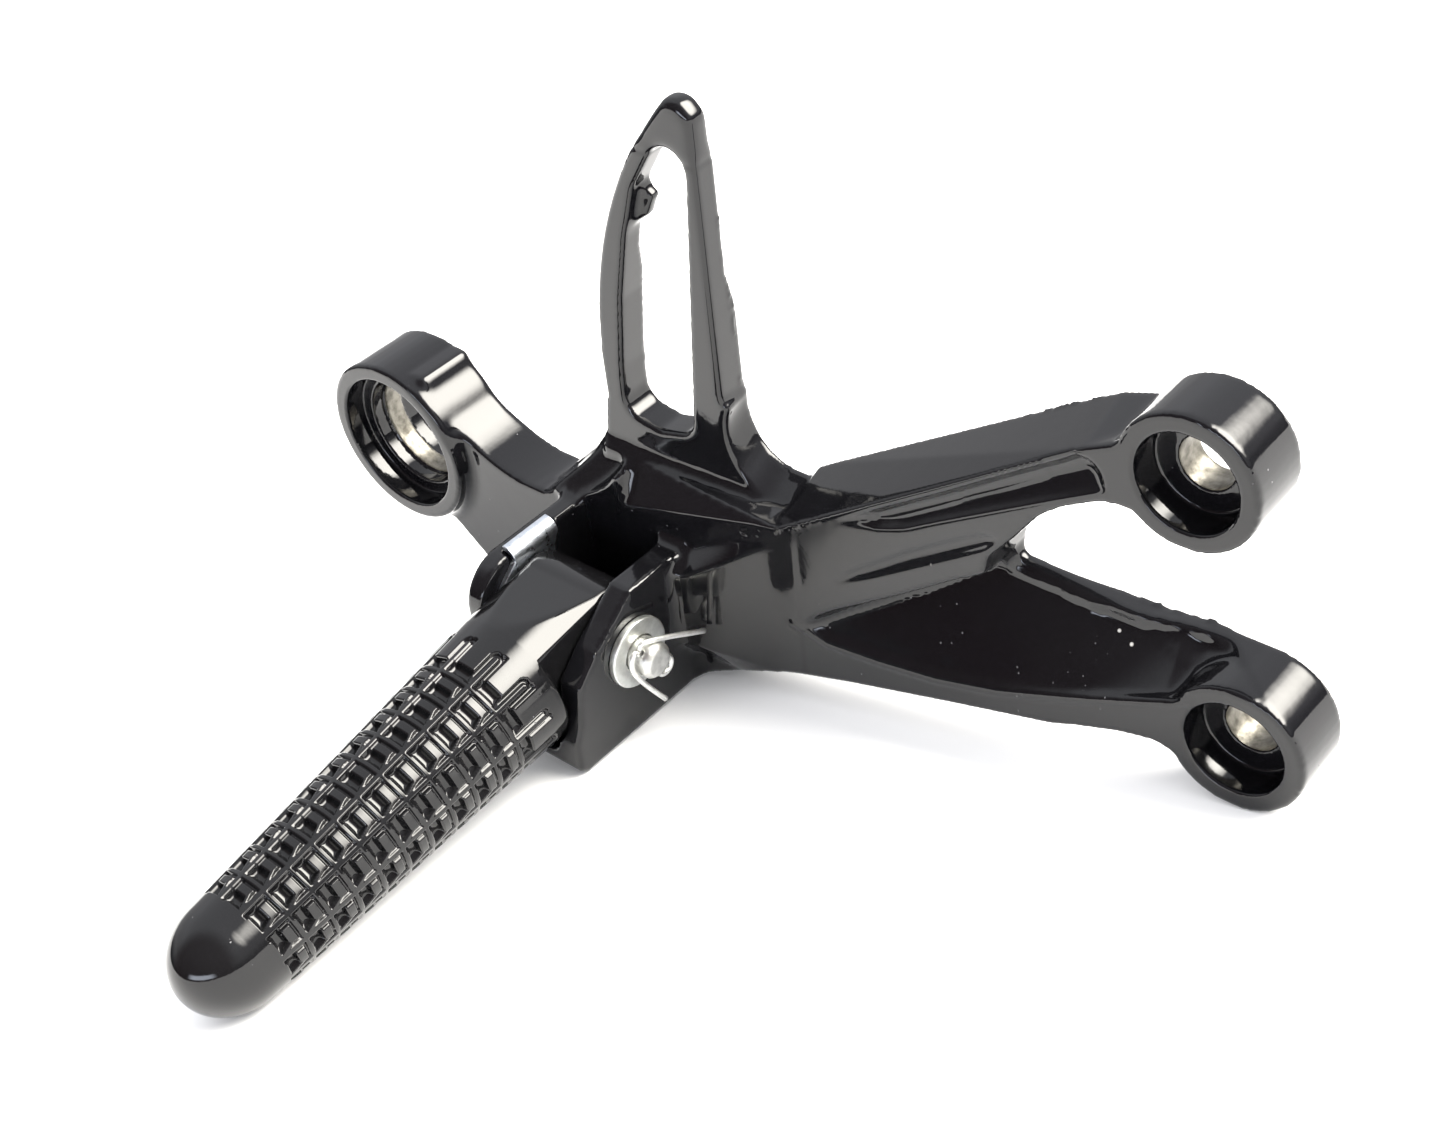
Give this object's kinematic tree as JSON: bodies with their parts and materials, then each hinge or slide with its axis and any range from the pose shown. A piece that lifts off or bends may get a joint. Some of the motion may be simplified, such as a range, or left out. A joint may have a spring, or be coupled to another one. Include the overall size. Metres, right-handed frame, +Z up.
{
  "type": "folding foot peg with hanger bracket",
  "caption": "Folding foot peg with a waffle-pattern grip, hinged on a pin in the clevis of a cast three-armed hanger with a slotted heel guard.",
  "frame": {"origin": "centre of the upper frame bolt hole at the hanger's back face", "axes": "+X along the pivot pin from the ringed arm towards the two frame bolt bosses, -Y out along the foot peg away from the motorcycle, +Z up the heel guard"},
  "size_m": [0.2462, 0.1444, 0.1394],
  "materials": {
    "gloss_black_paint": "gloss",
    "gloss_black_peg": "gloss",
    "zinc_pin": "satin",
    "zinc_washer": "satin",
    "bright_wire": "gloss",
    "bright_sheet": "gloss",
    "ball_steel": "gloss",
    "spring_steel": "satin"
  },
  "bodies": {
    "hanger": {"bracket": "gloss_black_paint", "pivot_pin": "zinc_pin", "plain_washer": "zinc_washer", "split_pin": "bright_wire", "setting_plate": "bright_sheet"},
    "peg": {"foot_peg": "gloss_black_peg", "detent_spring": "spring_steel"},
    "ball": {"detent_ball": "ball_steel"}
  },
  "joints": [
    {"name": "peg_fold", "type": "hinge", "parent": "hanger", "child": "peg", "pos_m": [-0.1318, -0.0327, -0.0785], "axis": [-1, 0, 0], "range_deg": [0, 90]},
    {"name": "ball_press", "type": "slide", "parent": "peg", "child": "ball", "axis": [1, 0, 0], "range_m": [0, 0.0008], "stiffness_N_per_m": 1500, "springref_m": -0.002, "deforming": ["detent_spring"]}
  ]
}
